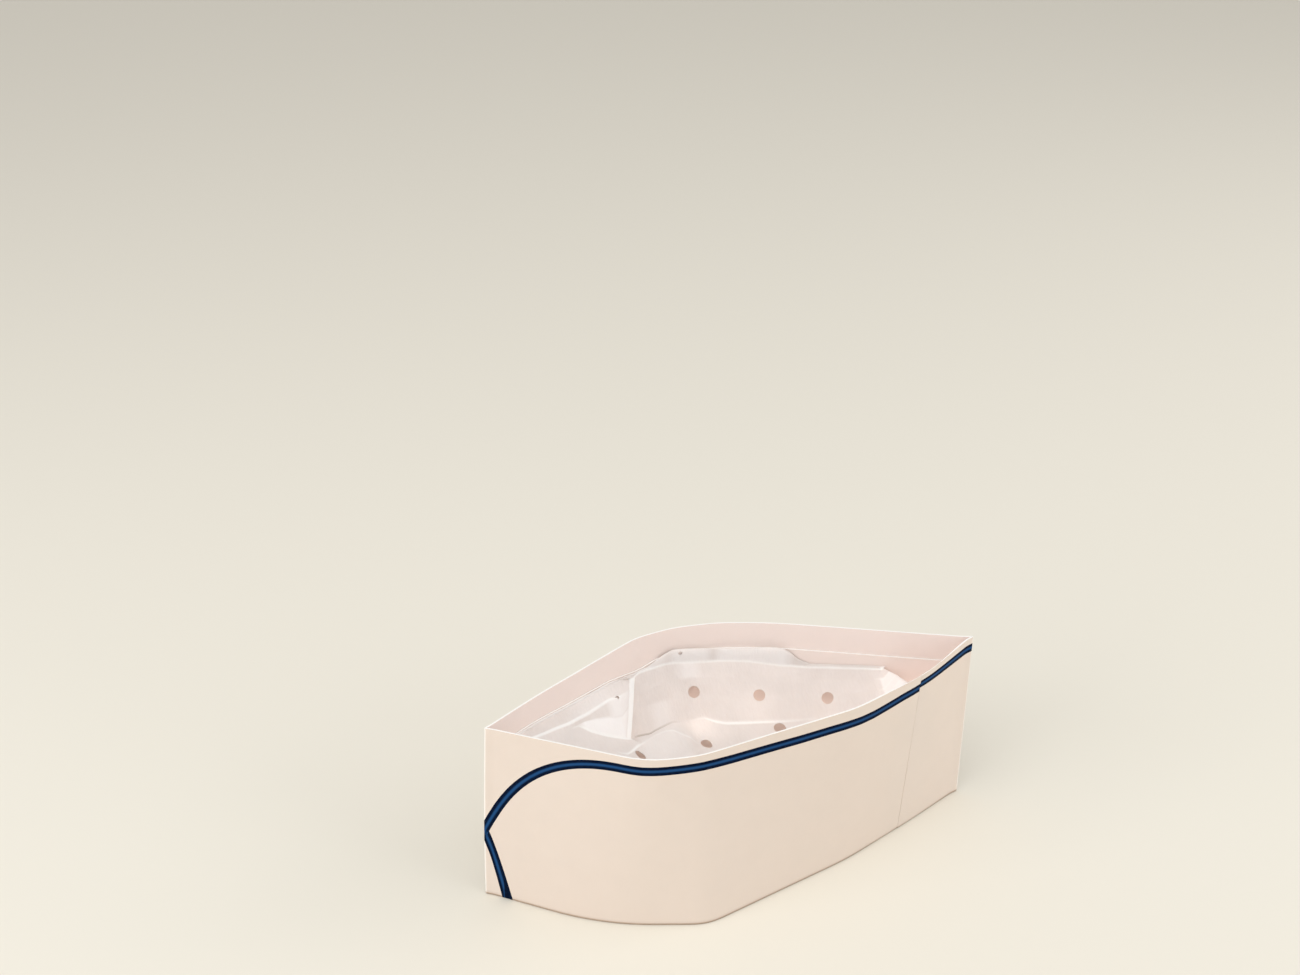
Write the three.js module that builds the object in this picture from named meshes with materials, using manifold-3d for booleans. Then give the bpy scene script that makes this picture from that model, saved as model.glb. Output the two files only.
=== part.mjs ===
// A paper soda jerk hat: a pointed band of folded paper, and a crepe tissue crown that sags inside it.
// Millimetres, +Z up. The origin is under the middle of the band, on the surface that the hem rests on.
// +Y runs to the back crease and +X to the wearer's left.

import * as THREE from 'three';
import { mergeVertices } from 'three/addons/utils/BufferGeometryUtils.js';
import Module from 'manifold-3d';

const wasm = await Module();
wasm.setup();

// Driving dimensions of the paper band
const BAND_LENGTH = 266; // front crease to back crease, along the hem
const BAND_WIDTH = 114; // across the widest place
const CREASE_OFFSET = 1.5; // how far to the left of the band's middle the two creases stand
const BAND_HEIGHT = 100;
const PLY = 1.0; // one ply of paper
const TURN_UP_DROP = 15; // the inner ply stops this far below the rim
const SEAM_FROM_BACK = 49; // the glued overlap's edge, ahead of the back crease
const SEAM_STEP = 0.5; // how far the overlapping ply stands proud at its edge

// Driving dimensions of the tissue crown
const TISSUE = 1.0;
const TISSUE_GAP = 0.3; // clear of the band's inner face
const TIP_SETBACK = 12; // the tissue's tip, behind the front crease
const REAR_OPENING = 40; // the gap between the tissue's back edge and the back crease
const HOLE_DIAMETER = 6.5;
const HOLE_PITCH = 37;
const FIRST_HOLE = 73; // the first hole of each row, behind the tissue's tip

const TURN_UP_HEIGHT = BAND_HEIGHT - TURN_UP_DROP;
const CROWN_LENGTH = BAND_LENGTH - TIP_SETBACK - REAR_OPENING;

// Fineness of the faceted solids
const BAND_STATIONS = 44;
const CROWN_STATIONS = 54;
const CROWN_ACROSS = 22;
const HOLE_SIDES = 12;
const SEAM_PAIR = 0.001; // apart, as a share of the side, for the two stations at the seam's step
const SEAM_CLEARING = 0.25; // other stations nearer to the seam than this share of a spacing are dropped
const NORMAL_STEP = 0.01; // share of the tissue, each way, over which its normal is taken

// Bends of the band's two sides. The ...Along columns are shares of the length from the front crease,
// the ...Out columns are shares of half the width, and the ...Soft columns are the share of the length
// that a bend takes on each side of its corner.
const LEFT_BENDS = [
  { rimAlong: 0.259, rimOut: 0.886, rimSoft: 0.045, hemAlong: 0.185, hemOut: 0.733, hemSoft: 0.100 },
  { rimAlong: 0.355, rimOut: 0.951, rimSoft: 0.030, hemAlong: 0.360, hemOut: 0.979, hemSoft: 0.030 },
  { rimAlong: 0.682, rimOut: 0.730, rimSoft: 0.030, hemAlong: 0.693, hemOut: 0.602, hemSoft: 0.040 },
  { rimAlong: 0.846, rimOut: 0.447, rimSoft: 0.050, hemAlong: 0.853, hemOut: 0.300, hemSoft: 0.050 },
];
const RIGHT_BENDS = [
  { rimAlong: 0.131, rimOut: 0.342, rimSoft: 0.045, hemAlong: 0.124, hemOut: 0.360, hemSoft: 0.045 },
  { rimAlong: 0.368, rimOut: 0.965, rimSoft: 0.025, hemAlong: 0.357, hemOut: 0.947, hemSoft: 0.025 },
  { rimAlong: 0.453, rimOut: 1.032, rimSoft: 0.030, hemAlong: 0.455, hemOut: 1.018, hemSoft: 0.030 },
  { rimAlong: 0.545, rimOut: 0.981, rimSoft: 0.030, hemAlong: 0.545, hemOut: 0.982, hemSoft: 0.030 },
  { rimAlong: 0.648, rimOut: 0.816, rimSoft: 0.045, hemAlong: 0.650, hemOut: 0.825, hemSoft: 0.045 },
];
// Where the creases stand, as shares of the length. The front crease leans back towards the rim.
const CREASES = { front: { rim: 0.0155, hem: 0 }, back: { rim: 1, hem: 1 } };

// The tissue's folds, a row for each section from its tip to its back edge. at is a share of the
// crown's length. The ...In columns are shares of the way from the right wall to the left wall, the
// ...Up columns are shares of the turned-up ply's height, and keelAft and floorAft say how much
// further back the keel and the floor lie than the section's ends, as shares of the crown's length.
const TISSUE_SECTIONS = [
  {
    at: 0.000, rightUp: 1.012, ridgeIn: 0.20, ridgeUp: 0.994, keelIn: 0.40, keelUp: 0.976, keelAft: 0,
    floorIn: 0.60, floorUp: 0.976, floorAft: 0, riseIn: 0.80, riseUp: 0.988, leftUp: 0.994,
  },
  {
    at: 0.090, rightUp: 0.994, ridgeIn: 0.22, ridgeUp: 0.982, keelIn: 0.38, keelUp: 0.929, keelAft: 0,
    floorIn: 0.55, floorUp: 0.894, floorAft: 0, riseIn: 0.78, riseUp: 0.929, leftUp: 0.988,
  },
  {
    at: 0.220, rightUp: 0.976, ridgeIn: 0.14, ridgeUp: 0.959, keelIn: 0.30, keelUp: 0.871, keelAft: 0,
    floorIn: 0.50, floorUp: 0.812, floorAft: 0, riseIn: 0.76, riseUp: 0.871, leftUp: 0.982,
  },
  {
    at: 0.345, rightUp: 0.959, ridgeIn: 0.08, ridgeUp: 0.941, keelIn: 0.26, keelUp: 0.753, keelAft: -0.02,
    floorIn: 0.44, floorUp: 0.694, floorAft: -0.02, riseIn: 0.72, riseUp: 0.800, leftUp: 0.982,
  },
  {
    at: 0.390, rightUp: 0.976, ridgeIn: 0.035, ridgeUp: 0.924, keelIn: 0.17, keelUp: 0.624, keelAft: -0.03,
    floorIn: 0.42, floorUp: 0.694, floorAft: -0.01, riseIn: 0.72, riseUp: 0.800, leftUp: 0.982,
  },
  {
    at: 0.540, rightUp: 1.000, ridgeIn: 0.03, ridgeUp: 0.906, keelIn: 0.23, keelUp: 0.641, keelAft: 0,
    floorIn: 0.44, floorUp: 0.665, floorAft: 0, riseIn: 0.73, riseUp: 0.800, leftUp: 0.982,
  },
  {
    at: 0.720, rightUp: 1.000, ridgeIn: 0.03, ridgeUp: 0.894, keelIn: 0.24, keelUp: 0.600, keelAft: 0,
    floorIn: 0.44, floorUp: 0.647, floorAft: 0, riseIn: 0.74, riseUp: 0.800, leftUp: 0.982,
  },
  {
    at: 0.870, rightUp: 0.988, ridgeIn: 0.05, ridgeUp: 0.888, keelIn: 0.26, keelUp: 0.606, keelAft: 0,
    floorIn: 0.46, floorUp: 0.641, floorAft: 0, riseIn: 0.74, riseUp: 0.812, leftUp: 0.982,
  },
  {
    at: 1.000, rightUp: 0.941, ridgeIn: 0.10, ridgeUp: 0.900, keelIn: 0.30, keelUp: 0.906, keelAft: 0.01,
    floorIn: 0.50, floorUp: 0.912, floorAft: 0.02, riseIn: 0.75, riseUp: 0.929, leftUp: 0.965,
  },
];
const FOLD_SOFTNESS = 0.3; // share of the shorter flank that a fold's rounding takes
const LONGEST_REACH = 0.49; // most of a straight run that the rounding at one of its ends may take

// Rows of punched holes, which run slightly askew. tipAcross and backAcross are where a row's line
// meets the tissue's tip and its back edge, as shares of the way over it from its right margin.
const HOLE_ROWS = [
  { tipAcross: 0.05, backAcross: 0.26 },
  { tipAcross: 0.50, backAcross: 0.41 },
];

const PAPER = new THREE.MeshStandardMaterial({ color: 0xe8dccb, roughness: 0.8, metalness: 0 });
const CREPE = new THREE.MeshStandardMaterial({ color: 0xefe6de, roughness: 0.95, metalness: 0 });

// A path of straight runs through corners, each corner rounded by reach(i) at most to each side.
function softPath(corners, reach) {
  const path = new THREE.CurvePath();
  const last = corners.length - 1;
  let from = corners[0];
  for (let i = 1; i < last; i += 1) {
    const [before, after] = [corners[i - 1], corners[i + 1]].map((end) => {
      const run = end.clone().sub(corners[i]);
      const length = Math.min(reach(i), run.length() * LONGEST_REACH);
      return corners[i].clone().add(run.setLength(length));
    });
    path.add(new THREE.LineCurve3(from, before));
    path.add(new THREE.QuadraticBezierCurve3(before, corners[i], after));
    from = after;
  }
  path.add(new THREE.LineCurve3(from, corners[last]));
  return path;
}

// The outline of one side, from the front crease to the back crease, at the rim or the hem.
function sideOutline(bends, hand, edge) {
  const height = edge === 'rim' ? BAND_HEIGHT : 0;
  const place = (along, out) => new THREE.Vector3(
    CREASE_OFFSET + hand * out * BAND_WIDTH / 2,
    (along - 0.5) * BAND_LENGTH,
    height,
  );
  const corners = [
    place(CREASES.front[edge], 0),
    ...bends.map((bend) => place(bend[`${edge}Along`], bend[`${edge}Out`])),
    place(CREASES.back[edge], 0),
  ];
  return softPath(corners, (i) => bends[i - 1][`${edge}Soft`] * BAND_LENGTH);
}

const SIDES = {
  left: { rim: sideOutline(LEFT_BENDS, 1, 'rim'), hem: sideOutline(LEFT_BENDS, 1, 'hem') },
  right: { rim: sideOutline(RIGHT_BENDS, -1, 'rim'), hem: sideOutline(RIGHT_BENDS, -1, 'hem') },
};
const SEAM_SHARE = 1 - SEAM_FROM_BACK / SIDES.left.rim.getLength();

// A point of a side's outer face: share runs from the front crease to the back crease.
function wallPoint(side, share, height) {
  return SIDES[side].hem.getPoint(share).lerp(SIDES[side].rim.getPoint(share), height / BAND_HEIGHT);
}

// Shares of a side at which its wall is drawn, with a close pair at the seam on the left side.
function wallShares(side) {
  const shares = Array.from({ length: BAND_STATIONS }, (_, i) => i / BAND_STATIONS);
  if (side === 'right') {
    return shares.map((share) => 1 - share);
  }
  const seam = [SEAM_SHARE, SEAM_SHARE + SEAM_PAIR];
  const clear = shares.filter((share) => Math.abs(share - SEAM_SHARE) > SEAM_CLEARING / BAND_STATIONS);
  return [...clear, ...seam].sort((a, b) => a - b);
}

// How far the overlapping ply stands proud of the left wall. It lies flat again at the back crease.
function lapRise(side, share) {
  if (side === 'right' || share <= SEAM_SHARE) {
    return 0;
  }
  return SEAM_STEP * (1 - share) / (1 - SEAM_SHARE);
}

// The band's closed outline at a height, moved inwards by an inset with mitred corners.
function bandLoop(height, inset, lap = 0) {
  const stations = ['left', 'right'].flatMap((side) => wallShares(side).map((share) => ({
    point: wallPoint(side, share, height),
    inset: inset - lap * lapRise(side, share),
  })));
  return stations.map(({ point, inset: depth }, i) => {
    const before = stations[(i + stations.length - 1) % stations.length].point;
    const after = stations[(i + 1) % stations.length].point;
    const arriving = point.clone().sub(before).normalize();
    const leaving = after.clone().sub(point).normalize();
    const along = arriving.clone().add(leaving).normalize();
    const inwards = new THREE.Vector3(-along.y, along.x, 0);
    const mitre = 1 / Math.sqrt((1 + arriving.dot(leaving)) / 2);
    return point.clone().addScaledVector(inwards, depth * mitre);
  });
}

// A closed mesh from rings of equal length: each ring is joined to the next and the last to the first.
function ringsToGeometry(rings) {
  const count = rings[0].length;
  const positions = rings.flatMap((ring) => ring.flatMap((p) => [p.x, p.y, p.z]));
  const index = [];
  rings.forEach((_, r) => {
    const next = (r + 1) % rings.length;
    for (let i = 0; i < count; i += 1) {
      const j = (i + 1) % count;
      const [a, b, c, d] = [r * count + i, r * count + j, next * count + j, next * count + i];
      index.push(a, b, c, a, c, d);
    }
  });
  return indexedGeometry(positions, index);
}

function indexedGeometry(positions, index) {
  const geometry = new THREE.BufferGeometry();
  geometry.setAttribute('position', new THREE.Float32BufferAttribute(positions, 3));
  geometry.setIndex(index);
  return geometry;
}

// The paper band: its section steps from two plies to one where the turned-up ply ends.
function sideBand() {
  const section = [
    { height: 0, inset: 0, lap: 1 },
    { height: BAND_HEIGHT, inset: 0, lap: 1 },
    { height: BAND_HEIGHT, inset: PLY, lap: 0 },
    { height: TURN_UP_HEIGHT, inset: PLY, lap: 0 },
    { height: TURN_UP_HEIGHT, inset: 2 * PLY, lap: 0 },
    { height: 0, inset: 2 * PLY, lap: 0 },
  ];
  return ringsToGeometry(section.map(({ height, inset, lap }) => bandLoop(height, inset, lap)));
}

// Where a straight cut across the hat, y from the origin, meets the tissue's margin on one side.
function marginX(side, y, height) {
  const loop = bandLoop(height, 2 * PLY + TISSUE_GAP + TISSUE / 2);
  const crossings = loop.flatMap((p, i) => {
    const q = loop[(i + 1) % loop.length];
    if ((p.y - y) * (q.y - y) > 0 || p.y === q.y) {
      return [];
    }
    return [p.x + (q.x - p.x) * (y - p.y) / (q.y - p.y)];
  });
  return side === 'left' ? Math.max(...crossings) : Math.min(...crossings);
}

// The row of TISSUE_SECTIONS at a share of the crown's length, worked out between its neighbours.
function sectionAt(at) {
  const last = TISSUE_SECTIONS.length - 1;
  const after = Math.min(last, Math.max(1, TISSUE_SECTIONS.findIndex((row) => row.at >= at)));
  const [a, b] = [TISSUE_SECTIONS[after - 1], TISSUE_SECTIONS[after]];
  const share = (at - a.at) / (b.at - a.at);
  return Object.fromEntries(Object.keys(a).map((key) => [key, THREE.MathUtils.lerp(a[key], b[key], share)]));
}

// The middle of the tissue on one section, as a path from the right margin to the left margin.
function tissueSection(at) {
  const row = sectionAt(at);
  const y = TIP_SETBACK + at * CROWN_LENGTH - BAND_LENGTH / 2;
  const right = marginX('right', y, row.rightUp * TURN_UP_HEIGHT);
  const left = marginX('left', y, row.leftUp * TURN_UP_HEIGHT);
  const corners = [
    [0, 0, row.rightUp],
    [row.ridgeIn, 0, row.ridgeUp],
    [row.keelIn, row.keelAft, row.keelUp],
    [row.floorIn, row.floorAft, row.floorUp],
    [row.riseIn, 0, row.riseUp],
    [1, 0, row.leftUp],
  ].map(([across, aft, up]) => (
    new THREE.Vector3(right + across * (left - right), y + aft * CROWN_LENGTH, up * TURN_UP_HEIGHT)
  ));
  const flank = (i) => Math.min(corners[i].distanceTo(corners[i - 1]), corners[i].distanceTo(corners[i + 1]));
  return softPath(corners, (i) => FOLD_SOFTNESS * flank(i));
}

const drawnSections = new Map();

// A point in the middle of the tissue. Each section is worked out once and kept.
function tissuePoint(at, across) {
  if (!drawnSections.has(at)) {
    drawnSections.set(at, tissueSection(at));
  }
  return drawnSections.get(at).getPoint(across);
}

// The tissue's upward normal at a point.
function tissueNormal(at, across) {
  const [a0, a1] = [Math.max(0, at - NORMAL_STEP), Math.min(1, at + NORMAL_STEP)];
  const [c0, c1] = [Math.max(0, across - NORMAL_STEP), Math.min(1, across + NORMAL_STEP)];
  const along = tissuePoint(a1, across).sub(tissuePoint(a0, across));
  const over = tissuePoint(at, c1).sub(tissuePoint(at, c0));
  return over.cross(along).normalize();
}

// The whole sheet of tissue with its thickness, before its holes are punched.
function tissueSheet() {
  const [rows, columns] = [CROWN_STATIONS, CROWN_ACROSS];
  const points = [];
  for (let i = 0; i <= rows; i += 1) {
    for (let j = 0; j <= columns; j += 1) {
      const [at, across] = [i / rows, j / columns];
      const middle = tissuePoint(at, across);
      const rise = tissueNormal(at, across).multiplyScalar(TISSUE / 2);
      points.push({ top: middle.clone().add(rise), under: middle.clone().sub(rise) });
    }
  }
  const count = points.length;
  const top = (i, j) => i * (columns + 1) + j;
  const under = (i, j) => count + top(i, j);
  const index = [];
  const quad = (a, b, c, d) => index.push(a, b, c, a, c, d);
  for (let i = 0; i < rows; i += 1) {
    for (let j = 0; j < columns; j += 1) {
      quad(top(i, j), top(i, j + 1), top(i + 1, j + 1), top(i + 1, j));
      quad(under(i, j), under(i + 1, j), under(i + 1, j + 1), under(i, j + 1));
    }
    quad(top(i, 0), top(i + 1, 0), under(i + 1, 0), under(i, 0));
    quad(top(i + 1, columns), top(i, columns), under(i, columns), under(i + 1, columns));
  }
  for (let j = 0; j < columns; j += 1) {
    quad(top(0, j + 1), top(0, j), under(0, j), under(0, j + 1));
    quad(top(rows, j), top(rows, j + 1), under(rows, j + 1), under(rows, j));
  }
  const faces = [...points.map((p) => p.top), ...points.map((p) => p.under)];
  return indexedGeometry(faces.flatMap((p) => p.toArray()), index);
}

function toSolid(geometry) {
  const bare = geometry.clone();
  bare.deleteAttribute('normal');
  bare.deleteAttribute('uv');
  const merged = mergeVertices(bare);
  return new wasm.Manifold(new wasm.Mesh({
    numProp: 3,
    vertProperties: new Float32Array(merged.attributes.position.array),
    triVerts: new Uint32Array(merged.index.array),
  }));
}

function toGeometry(solid) {
  const { vertProperties, triVerts } = solid.getMesh();
  return indexedGeometry(Array.from(vertProperties), Array.from(triVerts));
}

// The punch of one vent hole, a pin that stands square to the tissue.
function holePunch(at, across) {
  const length = TISSUE + HOLE_DIAMETER;
  const pin = new THREE.CylinderGeometry(HOLE_DIAMETER / 2, HOLE_DIAMETER / 2, length, HOLE_SIDES);
  const pinAxis = new THREE.Vector3(0, 1, 0);
  const turn = new THREE.Quaternion().setFromUnitVectors(pinAxis, tissueNormal(at, across));
  pin.applyQuaternion(turn);
  pin.translate(...tissuePoint(at, across).toArray());
  return toSolid(pin);
}

function crown() {
  let solid = toSolid(tissueSheet());
  for (const { tipAcross, backAcross } of HOLE_ROWS) {
    for (let reach = FIRST_HOLE; reach + HOLE_DIAMETER < CROWN_LENGTH; reach += HOLE_PITCH) {
      const at = reach / CROWN_LENGTH;
      solid = solid.subtract(holePunch(at, THREE.MathUtils.lerp(tipAcross, backAcross, at)));
    }
  }
  return toGeometry(solid);
}

function named(name, geometry, material) {
  geometry.computeVertexNormals();
  const mesh = new THREE.Mesh(geometry, material);
  mesh.name = name;
  return mesh;
}

const hat = new THREE.Group();
hat.add(named('side_band', sideBand(), PAPER));
hat.add(named('crown', crown(), CREPE));

export default hat;
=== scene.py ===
"""A paper soda jerk hat: a pointed band of folded paper with a printed stripe, and a crepe tissue
crown that sags inside it. Sizes are in millimetres until a piece is finished, then in metres."""

import logging
import math
from collections.abc import Iterable
from dataclasses import dataclass
from enum import Enum, IntEnum

import bmesh
import bpy
import numpy as np
from bmesh.types import BMesh, BMFace, BMVert
from bpy.types import Material, Mesh, Node, NodeSocket, Object
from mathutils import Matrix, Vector, noise


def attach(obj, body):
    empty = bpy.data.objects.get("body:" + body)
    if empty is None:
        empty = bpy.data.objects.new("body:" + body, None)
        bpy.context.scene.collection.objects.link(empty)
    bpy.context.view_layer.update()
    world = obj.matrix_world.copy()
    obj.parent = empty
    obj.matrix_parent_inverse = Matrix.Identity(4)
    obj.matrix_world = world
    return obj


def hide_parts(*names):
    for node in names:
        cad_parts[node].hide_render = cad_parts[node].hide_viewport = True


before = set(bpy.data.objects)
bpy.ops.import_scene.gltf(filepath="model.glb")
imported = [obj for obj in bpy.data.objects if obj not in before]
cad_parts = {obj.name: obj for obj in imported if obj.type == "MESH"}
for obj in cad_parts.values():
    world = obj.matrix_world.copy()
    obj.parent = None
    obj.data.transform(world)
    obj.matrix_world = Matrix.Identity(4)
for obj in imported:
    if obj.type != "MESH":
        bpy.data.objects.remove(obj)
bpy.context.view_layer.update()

MM = 0.001
BODY = "root"
UPRIGHT = 0.5  # A face counts as upright while its normal rises less than this.
log = logging.getLogger("hat")

Array = np.ndarray
Colour = Triple = tuple[float, float, float]
Pairs = tuple[tuple[float, float], ...]


# Helpers for meshes

class Hand(Enum):
    """Which of the wearer's sides a wall stands on, as the sign of its x."""

    LEFT = 1.0
    RIGHT = -1.0


class Edge(Enum):
    """One of a wall's two long edges."""

    RIM = "rim"
    HEM = "hem"


def grid_sheet(columns: Array, rows: Array) -> BMesh:
    """Makes a flat sheet of quads with its lines at given places.

    Args:
        columns: x of each vertical line, rising.
        rows: y of each horizontal line, rising.

    Returns:
        A bmesh in the plane z = 0.
    """
    bm = bmesh.new()
    across, up = len(columns) - 1, len(rows) - 1
    bmesh.ops.create_grid(bm, x_segments=across, y_segments=up, size=0.5)
    for vert in bm.verts:
        column = round((vert.co.x + 0.5) * across)
        row = round((vert.co.y + 0.5) * up)
        vert.co = (columns[column], rows[row], 0.0)
    return bm


def read_table(rows: Iterable, at: Array) -> Array:
    """Reads a table's columns at places along its first one.

    Args:
        rows: the table, with its first column rising.
        at: the places.

    Returns:
        An array for each column after the first.
    """
    table = np.array([*rows], float)
    return np.stack([np.interp(at, table[:, 0], column) for column in table.T[1:]])


def bezier(points: Iterable, t: Array) -> Array:
    """Finds a Bezier curve's points at shares t, from its control points."""
    line = [*points]
    while len(line) > 1:
        line = [(1 - t) * a + t * b for a, b in zip(line, line[1:])]
    return line[0]


def mesh_object(bm: BMesh, name: str) -> Object:
    """Turns a bmesh in millimetres into a linked object in metres.

    Args:
        bm: the mesh, which is freed.
        name: the object's name.

    Returns:
        The new object, at the origin.
    """
    bmesh.ops.scale(bm, vec=(MM, MM, MM), verts=bm.verts)
    mesh = bpy.data.meshes.new(name)
    bm.to_mesh(mesh)
    bm.free()
    piece = bpy.data.objects.new(name, mesh)
    bpy.context.scene.collection.objects.link(piece)
    return piece


def harden(piece: Object, sharp_deg: float) -> None:
    """Applies the piece's modifiers and shades it smooth, with its sharp edges kept sharp.

    Args:
        piece: the object to finish.
        sharp_deg: edges that turn by more than this stay sharp.
    """
    graph = bpy.context.evaluated_depsgraph_get()
    piece.data = bpy.data.meshes.new_from_object(piece.evaluated_get(graph))
    piece.modifiers.clear()
    bm = bmesh.new()
    bm.from_mesh(piece.data)
    limit = math.radians(sharp_deg)
    for face in bm.faces:
        face.smooth = True
    for edge in bm.edges:
        edge.smooth = len(edge.link_faces) == 2 and edge.calc_face_angle(0.0) < limit
    bm.to_mesh(piece.data)
    bm.free()


# Helpers for materials

class NodeTree:
    """A short way to write a material's nodes."""

    def __init__(self, name: str) -> None:
        """Starts a material called name with one Principled shader."""
        self.material = bpy.data.materials.new(name)
        self.material.use_nodes = True
        self.tree = self.material.node_tree
        self.shader = self.tree.nodes["Principled BSDF"]
        self.where = self.add("TexCoord").outputs["Object"]

    def add(self, kind: str, inputs: dict | None = None, **settings: object) -> Node:
        """Adds a node.

        Args:
            kind: the node's type, without its ShaderNode prefix.
            inputs: values or output sockets, by the name or number of an input.
            settings: properties of the node.

        Returns:
            The new node.
        """
        node = self.tree.nodes.new("ShaderNode" + kind)
        for key, value in settings.items():
            setattr(node, key, value)
        for key, value in (inputs or {}).items():
            self.feed(node.inputs[key], value)
        return node

    def feed(self, socket: NodeSocket, value: object) -> None:
        """Links an output socket to an input, or sets the input's value."""
        if isinstance(value, NodeSocket):
            self.tree.links.new(value, socket)
        else:
            socket.default_value = value

    def set(self, **inputs: object) -> None:
        """Sets or links the Principled shader's inputs, with _ for each space of their names."""
        for key, value in inputs.items():
            self.feed(self.shader.inputs[key.replace("_", " ")], value)

    def noise(self, scale: float, detail: float = 3.0, rough: float = 0.5,
              squash: Triple | None = None) -> object:
        """Adds a noise texture on Object coordinates, squashed or not, and returns its grey value."""
        where = self.where
        if squash:
            where = self.add("Mapping", {"Vector": where, "Scale": squash}).outputs["Vector"]
        values = {"Vector": where, "Scale": scale, "Detail": detail, "Roughness": rough}
        return self.add("TexNoise", values).outputs["Fac"]

    def range(self, value: object, low: float, high: float, to_low: float = 0.0,
              to_high: float = 1.0) -> object:
        """Maps a grey value from one range to another, held at its ends."""
        node = self.add("MapRange", {"Value": value, "From Min": low, "From Max": high,
                                     "To Min": to_low, "To Max": to_high})
        return node.outputs["Result"]

    def mix(self, share: object, first: object, second: object) -> object:
        """Mixes two colours by a share. Each is a socket or a plain colour."""
        node = self.add("Mix", {"Factor": share}, data_type="RGBA")
        colours = [socket for socket in node.inputs if socket.type == "RGBA"]
        for socket, colour in zip(colours, (first, second)):
            self.feed(socket, (*colour, 1.0) if isinstance(colour, tuple) else colour)
        return next(socket for socket in node.outputs if socket.type == "RGBA")

    def clouded(self, clouds: object, low: float, high: float, colour: Colour, depth: float) -> object:
        """Spreads a colour, darker below low and lighter above high by a share of itself."""
        dark, light = (tuple(min(1.0, c * (1 + sign * depth)) for c in colour) for sign in (-1, 1))
        return self.mix(self.range(clouds, low, high), dark, light)

    def math(self, operation: str, first: object, second: object = 0.0) -> object:
        """Adds a Math node and returns its value."""
        node = self.add("Math", operation=operation)
        self.feed(node.inputs[0], first)
        self.feed(node.inputs[1], second)
        return node.outputs[0]

    def attribute(self, name: str) -> object:
        """Reads one of the piece's own attributes as a grey value."""
        return self.add("Attribute", attribute_name=name).outputs["Fac"]

    def bump(self, height: object, depth: float) -> object:
        """Turns a grey value into a bumped normal, with its depth in metres."""
        return self.add("Bump", {"Height": height, "Distance": depth}).outputs["Normal"]


@dataclass(frozen=True)
class PaperFinish:
    """Smooth, lightly calendered band paper."""

    name: str
    colour: Colour = (0.728, 0.630, 0.556)
    cloud: float = 0.010
    cloud_scale: float = 90.0
    fibre_scale: float = 2600.0
    grain_depth: float = 0.00005
    roughness: float = 0.62
    # Pale of the painted highlight along the front and back creases.
    crease_highlight_colour: Colour = (0.93, 0.90, 0.86)
    # Brown of the painted contact shadow along the hem, where the band meets the floor.
    hem_shade_colour: Colour = (0.36, 0.25, 0.17)

    def material(self) -> Material:
        """Builds the paper: clouds in the sheet, fine fibre, a painted highlight along the creases and a
        painted contact shadow along the hem.
        """
        n = NodeTree(self.name)
        clouds = n.noise(self.cloud_scale, 4.0, 0.6)
        fibre = n.noise(self.fibre_scale, 2.0)
        sheet = n.clouded(clouds, 0.3, 0.7, self.colour, self.cloud)
        # Painted highlight: the paper turns pale close to the front and back creases.
        paled = n.range(n.attribute("fold_light_shade"), 0.15, 0.95, 0.0, 0.85)
        # Painted contact shadow: the paper turns brown close to the hem's fold.
        hem_shaded = n.range(n.attribute("hem_shade"), 0.1, 0.6, 0.0, 0.9)
        folded = n.mix(paled, sheet, self.crease_highlight_colour)
        n.set(Base_Color=n.mix(hem_shaded, folded, self.hem_shade_colour))
        n.set(Subsurface_Weight=0.08, Subsurface_Scale=0.001, Subsurface_Radius=(1.0, 0.8, 0.65))
        n.set(Roughness=n.range(fibre, 0.3, 0.7, self.roughness - 0.05, self.roughness + 0.08))
        grain = n.math("ADD", n.math("MULTIPLY", fibre, 0.6), clouds)
        n.set(Normal=n.bump(grain, self.grain_depth))
        return n.material


@dataclass(frozen=True)
class InkFinish:
    """Navy ink, squeezed darker to the edges of the stripe."""

    name: str
    core: Colour = (0.014, 0.066, 0.190)
    edge: Colour = (0.0, 0.003, 0.016)
    paled: Colour = (0.03, 0.09, 0.22)
    mottle_scale: float = 700.0
    mottle_depth: float = 0.00003
    roughness: float = 0.55

    def material(self) -> Material:
        """Builds the ink from the stripe's own measure across itself."""
        n = NodeTree(self.name)
        across = n.math("ABSOLUTE", n.attribute("ink_across"))
        mottle = n.noise(self.mottle_scale)
        squeeze = n.range(across, 0.10, 0.45)
        inked = n.mix(squeeze, self.core, self.edge)
        rubbed = n.range(mottle, 0.35, 0.75, 0.0, 0.10)
        n.set(Base_Color=n.mix(rubbed, inked, self.paled))
        n.set(Specular_IOR_Level=0.03)
        n.set(Roughness=n.range(mottle, 0.3, 0.7, self.roughness - 0.06, self.roughness + 0.10))
        n.set(Normal=n.bump(mottle, self.mottle_depth))
        return n.material


@dataclass(frozen=True)
class LitCutEdgeFinish:
    """The cut edge of the sheet, painted whiter than its faces as a highlight where it lies level, with torn
    fibre.
    """

    name: str
    # White of the painted highlight on the level cut edges.
    colour: Colour = (0.96, 0.94, 0.91)
    dulled: float = 0.93
    fibre_scale: float = 1800.0
    fibre_depth: float = 0.00008

    def material(self) -> Material:
        """Builds the edge from fine streaks."""
        n = NodeTree(self.name)
        fibre = n.noise(self.fibre_scale, 4.0, 0.7)
        dull = tuple(c * self.dulled for c in self.colour)
        n.set(Base_Color=n.mix(n.range(fibre, 0.3, 0.6), dull, self.colour))
        n.set(Roughness=0.85, Normal=n.bump(fibre, self.fibre_depth))
        return n.material


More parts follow.
